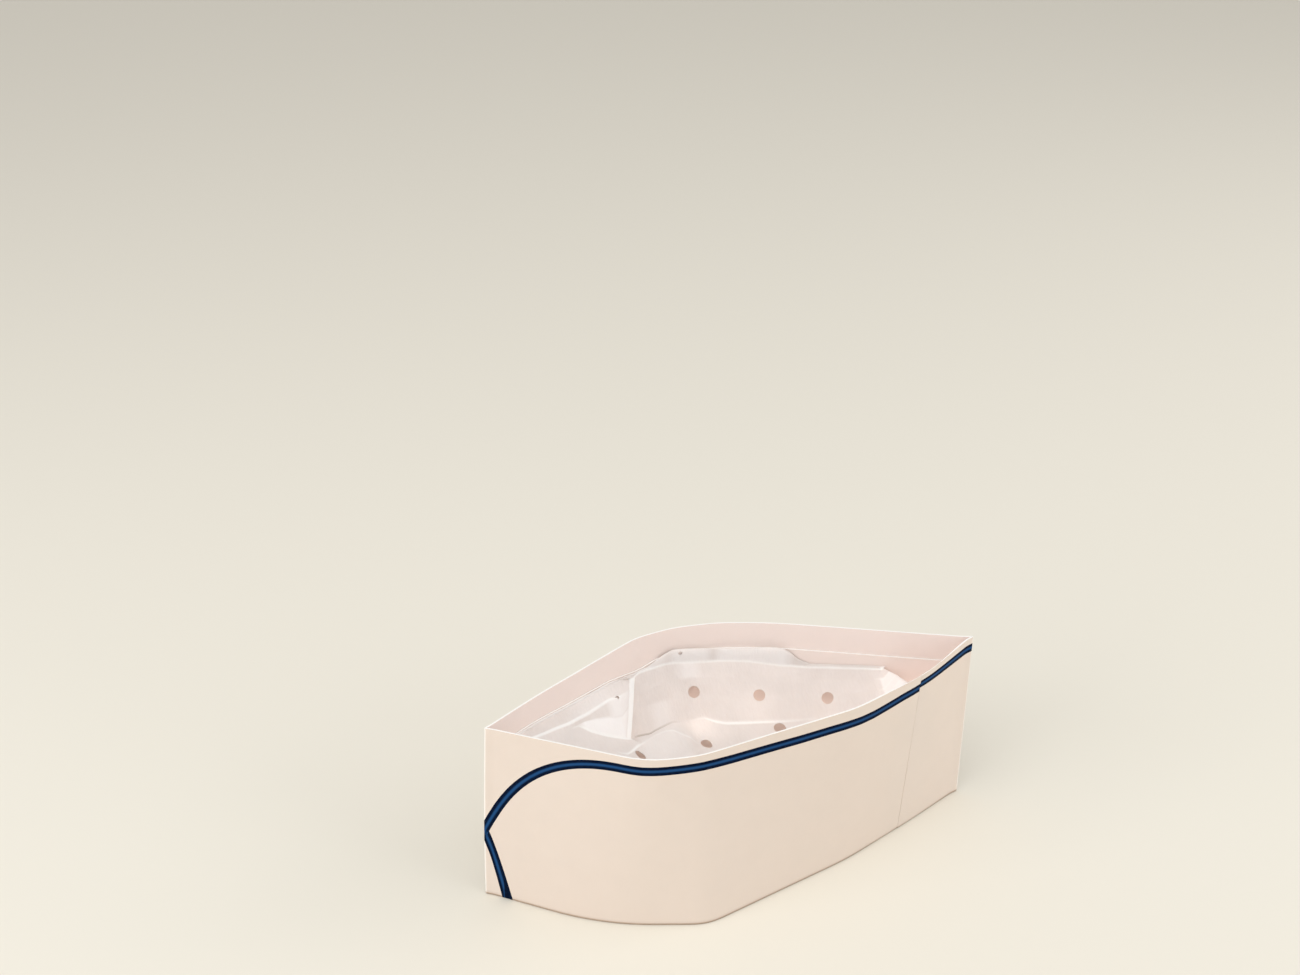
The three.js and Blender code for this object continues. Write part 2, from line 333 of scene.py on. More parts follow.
@dataclass(frozen=True)
class CrepeFinish:
    """Soft crepe tissue with fine cross crinkles, painted highlights along folds and painted shade in deep
    creases.
    """

    name: str
    colour: Colour = (0.792, 0.716, 0.674)
    # Pale of the painted highlight along folds and crinkle crests.
    fold_highlight_colour: Colour = (1.0, 0.98, 0.95)
    # White of the patches painted whiter, partly tissue lying on itself, partly painted light.
    doubled_lit_colour: Colour = (0.975, 0.94, 0.92)
    # Brown of the painted shade in deep creases, such as the keel under the flap.
    shade_colour: Colour = (0.40, 0.33, 0.28)
    cloud: float = 0.035
    cloud_scale: float = 70.0
    crinkle_scale: float = 1100.0
    crinkle_stretch: float = 4.0
    crinkle_depth: float = 0.00022

    def material(self) -> Material:
        """Builds the tissue: crinkles that run over the hat, soft clouds, painted highlights on folds and
        crinkle crests, patches painted whiter, and painted shade in deep creases.
        """
        n = NodeTree(self.name)
        squash = (1 / self.crinkle_stretch, 1.0, 1 / self.crinkle_stretch)
        crinkle = n.noise(self.crinkle_scale, 3.0, 0.6, squash)
        clouds = n.noise(self.cloud_scale, 4.0, 0.55)
        sheet = n.clouded(clouds, 0.32, 0.68, self.colour, self.cloud)
        # Painted highlight: crinkle crests turn up to a tenth of the way to the highlight colour.
        fine = n.mix(n.range(crinkle, 0.3, 0.7, 0.0, 0.10), sheet, self.fold_highlight_colour)
        # Painted light: patches turn whiter, partly for tissue lying on itself, partly for facets that face
        # the light.
        stacked = n.mix(n.attribute("doubled_and_lit"), fine, self.doubled_lit_colour)
        # Painted highlight along folds where the fold attribute is above 0, painted shade where it is below
        # 0.
        pale = n.range(n.attribute("fold_light_shade"), 0.05, 0.70)
        paled = n.mix(pale, stacked, self.fold_highlight_colour)
        deep = n.range(n.attribute("fold_light_shade"), -0.1, -1.0, 0.0, 0.8)
        n.set(Base_Color=n.mix(deep, paled, self.shade_colour))
        n.set(Roughness=0.92, Sheen_Weight=0.12, Sheen_Roughness=0.6, Specular_IOR_Level=0.2)
        n.set(Subsurface_Weight=0.3, Subsurface_Scale=0.004, Subsurface_Radius=(1.0, 0.85, 0.75))
        height = n.math("ADD", crinkle, n.math("MULTIPLY", clouds, 0.5))
        n.set(Normal=n.bump(height, self.crinkle_depth))
        return n.material


@dataclass(frozen=True)
class FloorFinish:
    """The plain pale surface that the hat stands on."""

    name: str
    colour: Colour = (0.797, 0.763, 0.677)

    def material(self) -> Material:
        """Builds an even, matt surface."""
        n = NodeTree(self.name)
        n.set(Base_Color=(*self.colour, 1.0), Roughness=0.9)
        return n.material


# The side band

@dataclass(frozen=True)
class Bend:
    """One soft bend of a wall at its rim and its hem, each as (along, out, soft).

    along and soft are shares of the hat's length, and out is a share of half its width.
    """

    rim: Triple
    hem: Triple


@dataclass(frozen=True)
class Footprint:
    """The outline that the band's outer face follows, at the rim and at the hem."""

    length: float = 266.0
    width: float = 114.0
    height: float = 100.0
    crease_offset: float = 1.5
    front_lean: float = 0.0155
    longest_reach: float = 0.49
    left_bends: tuple[Bend, ...] = (
        Bend((0.259, 0.886, 0.045), (0.185, 0.733, 0.100)),
        Bend((0.355, 0.951, 0.030), (0.371, 1.015, 0.030)),
        Bend((0.682, 0.730, 0.030), (0.693, 0.602, 0.040)),
        Bend((0.846, 0.447, 0.050), (0.853, 0.300, 0.050)),
    )
    right_bends: tuple[Bend, ...] = (
        Bend((0.131, 0.342, 0.045), (0.124, 0.360, 0.045)),
        Bend((0.368, 0.965, 0.025), (0.357, 0.947, 0.025)),
        Bend((0.453, 1.032, 0.030), (0.455, 1.018, 0.030)),
        Bend((0.545, 0.981, 0.030), (0.545, 0.982, 0.030)),
        Bend((0.648, 0.816, 0.045), (0.650, 0.825, 0.045)),
    )

    def corners(self, hand: Hand, edge: Edge) -> list[tuple[Array, float]]:
        """Lists a wall's corners from the front crease to the back crease.

        Args:
            hand: the wall.
            edge: its rim or its hem.

        Returns:
            Each corner's plan position, and how far its softness reaches.
        """
        bends = self.left_bends if hand is Hand.LEFT else self.right_bends
        front = self.front_lean if edge is Edge.RIM else 0.0
        middle = [bend.rim if edge is Edge.RIM else bend.hem for bend in bends]
        found = []
        for along, out, soft in ((front, 0.0, 0.0), *middle, (1.0, 0.0, 0.0)):
            x = self.crease_offset + hand.value * out * self.width / 2
            found.append((np.array([x, (along - 0.5) * self.length]), soft * self.length))
        return found

    def outline(self, hand: Hand, edge: Edge, steps: int = 12) -> tuple[Array, Array]:
        """Draws a wall's outline as a dense chain of points.

        Args:
            hand: the wall.
            edge: its rim or its hem.
            steps: points in each soft bend.

        Returns:
            The points, and the share of the outline's length at each.
        """
        corners = self.corners(hand, edge)
        points = [corners[0][0]]
        for (before, _), (corner, soft), (after, _) in zip(corners, corners[1:], corners[2:]):
            ends = []
            for other in (before, after):
                run = other - corner
                length = float(np.linalg.norm(run))
                ends.append(corner + run / length * min(soft, length * self.longest_reach))
            points += [bezier((ends[0], corner, ends[1]), t) for t in np.linspace(0.0, 1.0, steps)]
        points.append(corners[-1][0])
        chain = np.array(points)
        travelled = np.r_[0.0, np.cumsum(np.linalg.norm(np.diff(chain, axis=0), axis=1))]
        return chain, travelled / travelled[-1]

    def wall(self, hand: Hand, edge: Edge, shares: Array) -> Array:
        """Finds plan points of a wall's outline at shares of its length from the front crease."""
        chain, at = self.outline(hand, edge)
        return read_table(np.c_[at, chain], shares).T

    def side_length(self, hand: Hand) -> float:
        """Measures a wall along its middle height."""
        chains = [self.outline(hand, edge)[0] for edge in Edge]
        return float(np.mean([np.linalg.norm(np.diff(chain, axis=0), axis=1).sum() for chain in chains]))


@dataclass(frozen=True)
class Stripe:
    """The printed stripe, as its height above the hem at a distance from the front crease.

    It runs level below the rim, then sweeps down over the front crease to the hem of the other wall.
    """

    width: float = 4.95
    sweep: Pairs = ((69.5, 93.4), (12.1, 93.4), (-0.5, 43), (-13.2, -3))
    level: Pairs = (
        (80, 93.2), (90, 93.45), (104, 93.65), (114, 93.55), (126, 92.95), (145, 92.4),
        (165, 91.75), (180, 91.6), (193, 91.3), (201, 90.9), (209, 90.75), (219, 91.3),
        (230, 92.2), (242, 92.4), (262, 92.7), (291, 93.7), (400, 93.7),
    )
    leg_widths: Pairs = ((0, 1.15), (30, 0.90), (42, 0.86), (50, 1))
    lap_rise: float = 0.8
    lap_narrowing: float = 0.6
    nowhere: float = -1000.0

    def centre(self, steps: int = 80) -> Array:
        """Draws the stripe's middle as points (distance, height), nearest the hem first."""
        t = np.linspace(1.0, 0.0, steps)[:, None]
        return np.vstack([bezier(np.array(self.sweep), t), self.level])

    def edges(self, distance: Array, drift: Array) -> tuple[Array, Array]:
        """Finds the stripe's lower and upper edge.

        Args:
            distance: from the front crease, along the wall that the stripe is printed on.
            drift: how far out of register the stripe is, from 0 to 1 at the seam.

        Returns:
            The heights of the lower and the upper edge.
        """
        chain = self.centre()
        run = np.gradient(chain, axis=0)
        normal = np.stack([-run[:, 1], run[:, 0]], axis=1)
        normal /= np.linalg.norm(normal, axis=1)[:, None]
        wide = self.width * read_table(self.leg_widths, chain[:, 1]).T
        found = []
        for sign in (-1.0, 1.0):
            line = chain + normal * sign * wide / 2
            order = np.argsort(line[:, 0])
            height = np.interp(distance, line[order, 0], line[order, 1], left=self.nowhere)
            found.append(height + drift * (self.lap_rise - sign * self.lap_narrowing / 2))
        return found[0], found[1]


class PaperSlot(IntEnum):
    """The band's material slots. A sheet's back takes its front's slot plus INSIDE, its rim plus EDGE."""

    INK = 1
    INSIDE = 2
    EDGE = 4


@dataclass
class SideBand:
    """The paper wall: one sheet folded up along the hem, wrapped round and lapped near the back."""

    outline: Footprint
    stripe: Stripe
    sheet: float = 0.9
    ply_pitch: float = 1.0
    turn_up: float = 85.0
    hem_height: float = 0.95
    seam_from_back: float = 49.0
    lap_flat: float = 12.0
    lap_fade: float = 30.0
    lap_rise: float = 0.05
    lap_sink: float = 0.13
    pressed: float = 0.22
    under_lap: float = 6.0
    crease_round: float = 0.8
    round_plies: float = 1.5
    crease_bow: float = 0.5
    crease_proud: tuple[float, float] = (0.6, 1.6)
    proud_reach: float = 3.0
    ply_edge: Pairs = (
        (0, 86), (22, 86.5), (36, 86.3), (55, 85.2), (71, 84.6), (88, 84), (107, 80.9),
        (112, 81.2), (121, 84), (134, 85), (400, 85),
    )
    frame_step: float = 4.6
    column_step: float = 2.3
    row_step: float = 5.0
    fold_row: float = 1.5
    crease_columns: tuple[float, ...] = (0.3, 0.65, 1.0, 1.4)
    close_columns: tuple[int, int] = (15, 3)
    column_clear: float = 0.5
    wave: float = 0.30
    wave_pitch: tuple[float, float] = (0.018, 0.012)
    wave_seed: float = 4.0
    fade_in: float = 30.0
    lap_slack: float = 0.04
    # How far from a crease the painted highlight reaches.
    fold_reach: float = 1.1
    # How far from the hem's fold the painted contact shadow reaches.
    hem_reach: float = 1.8
    sharp_deg: float = 40.0
    cut_slack: float = 1e-4
    ink_limit: float = 3.0

    def __post_init__(self) -> None:
        """Lays the wall stations out along the sheet, from the lap's free edge to the tucked end."""
        left = self.outline.side_length(Hand.LEFT)
        seam = 1 - self.seam_from_back / left
        count = round(left / self.frame_step)
        runs = [
            (Hand.LEFT, np.linspace(seam, 1.0, round(count * (1 - seam)) + 1)),
            (Hand.RIGHT, np.linspace(1.0, 0.0, count + 1)[1:]),
            (Hand.LEFT, np.linspace(0.0, seam + self.under_lap / left, round(count * seam) + 1)[1:]),
        ]
        self.walls = {edge: np.vstack([self.outline.wall(hand, edge, s) for hand, s in runs])
                      for edge in Edge}
        self.insets = {edge: self.mitres(chain) for edge, chain in self.walls.items()}
        steps = [np.linalg.norm(np.diff(chain, axis=0), axis=1) for chain in self.walls.values()]
        self.along = np.r_[0.0, np.cumsum(np.mean(steps, axis=0))]
        self.back_crease = float(self.along[len(runs[0][1]) - 1])
        self.front_crease = float(self.along[len(runs[0][1]) + len(runs[1][1]) - 1])

    @staticmethod
    def mitres(chain: Array) -> Array:
        """Finds the inward step at each station that moves the wall in by one millimetre."""
        legs = np.diff(chain, axis=0)
        legs /= np.linalg.norm(legs, axis=1)[:, None]
        arriving = np.vstack([legs[:1], legs])
        leaving = np.vstack([legs, legs[-1:]])
        middle = arriving + leaving
        middle /= np.linalg.norm(middle, axis=1)[:, None]
        stretch = 1 / np.sqrt((1 + (arriving * leaving).sum(axis=1)) / 2)
        return np.stack([-middle[:, 1], middle[:, 0]], axis=1) * stretch[:, None]

    def wall_at(self, along: Array, height: Array, inset: Array) -> Array:
        """Finds plan points of the wall.

        Args:
            along: distance along the sheet.
            height: above the table.
            inset: how far inside the outer face.

        Returns:
            One plan point for each distance.
        """
        lean = (height / self.outline.height)[:, None]
        hem, rim = (read_table(np.c_[self.along, self.walls[edge]], along).T
                    + read_table(np.c_[self.along, self.insets[edge]], along).T * inset[:, None]
                    for edge in (Edge.HEM, Edge.RIM))
        return hem + (rim - hem) * lean

    def thickness(self, along: Array) -> Array:
        """Finds the share of the sheet's thickness that is left; its lapped ends are pressed thin."""
        from_end = np.minimum(along, self.along[-1] - along)
        full = np.clip((from_end - self.lap_flat) / self.lap_fade, 0.0, 1.0)
        return self.pressed + (1 - self.pressed) * full * full * (3 - 2 * full)

    def section(self, along: Array, up: Array) -> tuple[Array, Array]:
        """Folds the sheet's height: the outer ply above 0, the turned-up ply below it.

        Args:
            along: distance along the sheet.
            up: distance from the hem's fold on the flat sheet.

        Returns:
            Inset from the outer face, and height above the table.
        """
        radius = self.ply_pitch / 2
        arc = math.pi * radius / 2
        turn = np.clip(up / arc, -1.0, 1.0) * math.pi / 2
        thin = 1 - self.thickness(along)
        lap = np.where(along < self.along[-1] / 2, self.lap_rise, -self.lap_sink) * thin / (1 - self.pressed)
        inset = self.ply_pitch - (radius + self.sheet * thin / 2 + lap) * np.sin(turn)
        from_front = np.where(along > self.back_crease, self.front_crease - along, 0.0)
        top = np.where(up > 0, self.outline.height, read_table(self.ply_edge, from_front)[0])
        flat = np.where(up > 0, self.outline.height, self.turn_up)
        straight = self.hem_height + (np.abs(up) - arc) * (top - self.hem_height) / (flat - arc)
        height = np.where(np.abs(up) < arc, self.hem_height - radius * np.cos(turn), straight)
        tucked = np.clip((along - self.along[-1] + 2 * self.under_lap) / self.under_lap, 0.0, 1.0)
        drop = self.sheet * (tucked * (self.pressed + self.lap_slack) - thin / 2)
        height = height + drop * np.clip(1 - height / self.fade_in, 0.0, 1.0)
        return inset, height

    def folded(self, along: Array, up: Array) -> Array:
        """Puts points of the flat sheet where the folded hat holds them."""
        inset, height = self.section(along, up)
        plan = self.wall_at(along, height, inset)
        for crease in (self.back_crease, self.front_crease):
            reach = self.crease_round * np.clip(1 - inset / (self.round_plies * self.ply_pitch), 0.0, 1.0)
            offset = along - crease
            near = np.abs(offset) < reach
            if not near.any():
                continue
            r, h, i = reach[near], height[near], inset[near]
            base = np.full(r.shape, crease)
            t = ((offset[near] + r) / (2 * r))[:, None]
            plan[near] = bezier((self.wall_at(base + sign * r, h, i) for sign in (-1, 0, 1)), t)
        front, back = (np.exp(-((along - crease) / self.proud_reach) ** 2)
                       for crease in (self.front_crease, self.back_crease))
        bow = self.crease_bow * np.sin(math.pi * height / self.outline.height)
        plan[:, 1] += self.crease_proud[1] * back - (self.crease_proud[0] + bow) * front
        inward = self.wall_at(along, height, np.ones_like(inset))
        outward = self.wall_at(along, height, np.zeros_like(inset)) - inward
        spots = zip(along * self.wave_pitch[0], height * self.wave_pitch[1])
        ripple = np.array([noise.noise(Vector((*spot, self.wave_seed))) for spot in spots])
        away = np.minimum(np.abs(along - self.front_crease), np.abs(along - self.back_crease))
        calm = np.clip(away / self.fade_in, 0.0, 1.0)
        plan += outward * (ripple * calm * self.wave * height / self.outline.height)[:, None]
        return np.column_stack([plan, height])

    def columns(self) -> Array:
        """Chooses where the flat sheet has its upright lines, closer together at the creases."""
        count = round(self.along[-1] / self.column_step)
        lines = list(np.linspace(0.0, self.along[-1], count + 1))
        for crease, reach in zip((self.front_crease, self.back_crease), self.close_columns):
            offsets = [*self.crease_columns, *range(2, reach + 1)]
            lines = [x for x in lines if abs(x - crease) > reach + self.column_clear]
            lines += [crease, *(crease + sign * x for sign in (-1, 1) for x in offsets)]
        return np.array(sorted(lines))

    def rows(self) -> Array:
        """Chooses where the flat sheet has its level lines, closer together in the hem's fold."""
        arc = math.pi * self.ply_pitch / 4
        fold = [-self.fold_row, -arc, -arc / 2, 0.0, arc / 2, arc, self.fold_row]
        outer = np.arange(self.row_step, self.outline.height, self.row_step)
        inner = np.arange(self.row_step, self.turn_up, self.row_step)
        return np.array([-self.turn_up, *-inner[::-1], *fold, *outer, self.outline.height])

    def stripe_edges(self, along: Array) -> list[tuple[Array, Array]]:
        """Finds the edges of the two walls' stripes at distances along the sheet."""
        drift = np.clip(1 - along / self.back_crease, 0.0, 1.0)
        left = self.stripe.edges(along - self.front_crease, np.zeros_like(along))
        right = self.stripe.edges(self.front_crease - along, drift)
        return [left, right]

    def across(self, spots: Array) -> Array:
        """Measures spots of the sheet across the nearest stripe, whose edges lie at -1 and 1."""
        first, second = ((2 * spots[:, 1] - low - high) / (high - low)
                         for low, high in self.stripe_edges(spots[:, 0]))
        return np.where(np.abs(first) < np.abs(second), first, second)

    def print_stripe(self, bm: BMesh, columns: Array) -> None:
        """Cuts the stripe's edges into the flat sheet and marks the faces between them as inked.

        Args:
            bm: the flat sheet.
            columns: its upright lines.
        """
        strips: list[list[BMFace]] = [[] for _ in columns[1:]]
        for face in bm.faces:
            middle = face.calc_center_median()
            if middle.y > 0:
                strips[int(np.searchsorted(columns, middle.x)) - 1].append(face)
        lines = [line for pair in self.stripe_edges(columns) for line in pair]
        for k, faces in enumerate(strips):
            for start, end in ((line[k], line[k + 1]) for line in lines):
                if max(start, end) < 0:
                    continue
                whole = dict.fromkeys(g for f in faces for g in (*f.verts, *f.edges, f))
                cut = bmesh.ops.bisect_plane(
                    bm, geom=[*whole], dist=self.cut_slack, plane_co=(columns[k], start, 0.0),
                    plane_no=(start - end, columns[k + 1] - columns[k], 0.0))
                faces = [g for g in cut["geom"] if isinstance(g, BMFace)]
        layer = bm.verts.layers.float.new("ink_across")
        values = self.across(np.array([v.co[:2] for v in bm.verts]))
        for vert, value in zip(bm.verts, np.clip(values, -self.ink_limit, self.ink_limit)):
            vert[layer] = float(value)
        middles = np.array([f.calc_center_median()[:2] for f in bm.faces])
        for face, value in zip(bm.faces, self.across(middles)):
            if abs(value) < 1 and face.calc_center_median().y > 0:
                face.material_index = PaperSlot.INK

    def build(self) -> Object:
        """Cuts, prints and folds the sheet.

        Returns:
            The finished band.
        """
        columns = self.columns()
        bm = grid_sheet(columns, self.rows())
        self.print_stripe(bm, columns)
        uv = bm.loops.layers.uv.new("flat_sheet")
        size = self.along[-1]
        for face in bm.faces:
            for loop in face.loops:
                loop[uv].uv = (loop.vert.co.x / size, (loop.vert.co.y + self.turn_up) / size)
        flat = np.array([v.co[:2] for v in bm.verts])
        # The fold attribute carries the painted highlight along the creases, strongest on each crease.
        fold_light_shade = bm.verts.layers.float.new("fold_light_shade")
        creases = (self.front_crease, self.back_crease)
        gap = np.min([np.abs(flat[:, 0] - crease) for crease in creases], axis=0)
        # The hem attribute carries the painted contact shadow, strongest on the hem's fold.
        hem_shade = bm.verts.layers.float.new("hem_shade")
        for vert, away, (_, up) in zip(bm.verts, gap, flat):
            vert[fold_light_shade] = max(0.0, 1 - away / self.fold_reach)
            vert[hem_shade] = max(0.0, 1 - abs(up) / self.hem_reach)
        for vert, place in zip(bm.verts, self.folded(flat[:, 0], flat[:, 1])):
            vert.co = place
        bmesh.ops.recalc_face_normals(bm, faces=bm.faces)
        rim = max(bm.faces, key=lambda f: f.calc_center_median().x)
        if rim.normal.x < 0:
            bmesh.ops.reverse_faces(bm, faces=bm.faces)
        piece = mesh_object(bm, "side_band_paper")
        group = piece.vertex_groups.new(name="sheet_thickness")
        for index, share in enumerate(self.thickness(flat[:, 0])):
            group.add([index], float(share), "REPLACE")
        wall = piece.modifiers.new("ply", "SOLIDIFY")
        wall.vertex_group = group.name
        wall.thickness = self.sheet * MM
        wall.offset = 0.0
        wall.use_even_offset = True
        wall.material_offset = PaperSlot.INSIDE
        wall.material_offset_rim = PaperSlot.EDGE
        self.dress(piece)
        harden(piece, self.sharp_deg)
        for vert in piece.data.vertices:
            vert.co.z = max(vert.co.z, 0.0)
        self.turn_slots(piece.data, self.turn_up / size)
        return piece

    @staticmethod
    def turn_slots(mesh: Mesh, fold_at: float) -> None:
        """Gives the hem's rounded edge the paper's finish, and shows the sheet's back on the inner ply in
        the lighter inside copy, which is painted light.

        Args:
            mesh: the finished band.
            fold_at: the v of the hem's fold on the flat sheet.
        """
        sheet_at = mesh.uv_layers[0].uv
        for face in mesh.polygons:
            turned_up = all(sheet_at[k].vector.y < fold_at for k in face.loop_indices)
            # Upright cut edges take the paper's finish; level cut edges keep the whiter painted highlight.
            if face.material_index >= PaperSlot.EDGE:
                if abs(face.normal.z) < UPRIGHT:
                    face.material_index -= PaperSlot.EDGE
            elif turned_up:
                face.material_index = PaperSlot.INSIDE - face.material_index

    def dress(self, piece: Object) -> None:
        """Gives the band its finishes. Inked faces have the same back and cut edge as plain ones. The inside
        copy is painted light let through the walls, and level cut edges carry a painted highlight.
        """
        paper = PaperFinish("band_paper_outside").material()
        ink = InkFinish("stripe_ink").material()
        # Painted light: a lighter, pinker copy of the band paper for every inward face, standing in for
        # light let through the thin walls.
        inside = PaperFinish("band_paper_inside_lit", colour=(0.813, 0.714, 0.669)).material()
        edge = LitCutEdgeFinish("band_paper_edge_lit").material()
        for material in (paper, ink, inside, inside, edge, edge):
            piece.data.materials.append(material)


# The tissue crown

@dataclass(frozen=True)
class FoldLine:
    """One fold of the tissue, from its tip to its back edge.

    stops are rows of (station, x, up, aft, pale): the station is a y, up is a height, aft moves the
    fold back from the station and pale is the strength of the fold's painted highlight, and below 0
    of its painted shade. Both are 0 where a row leaves them out. x stays inside the band's walls.
    """

    name: str
    stops: tuple[tuple[float, ...], ...]

    def at(self, stations: Array) -> Array:
        """Reads (x, up, aft, pale) at each station."""
        return read_table([(*stop, 0, 0)[:5] for stop in self.stops], stations)


@dataclass(frozen=True)
class DoubledAndLit:
    """A place painted whiter, partly where the tissue lies on itself and partly as painted light on facets
    that face the light.

    It lies between two lines of the net, from one station to another, and fades over its last part.
    """

    first: int
    last: int
    start: float
    end: float
    white: float
    fade: float


@dataclass(frozen=True)
class VentHole:
    """A punched hole: where its middle is, and its radius."""

    place: Triple
    radius: float = 3.25


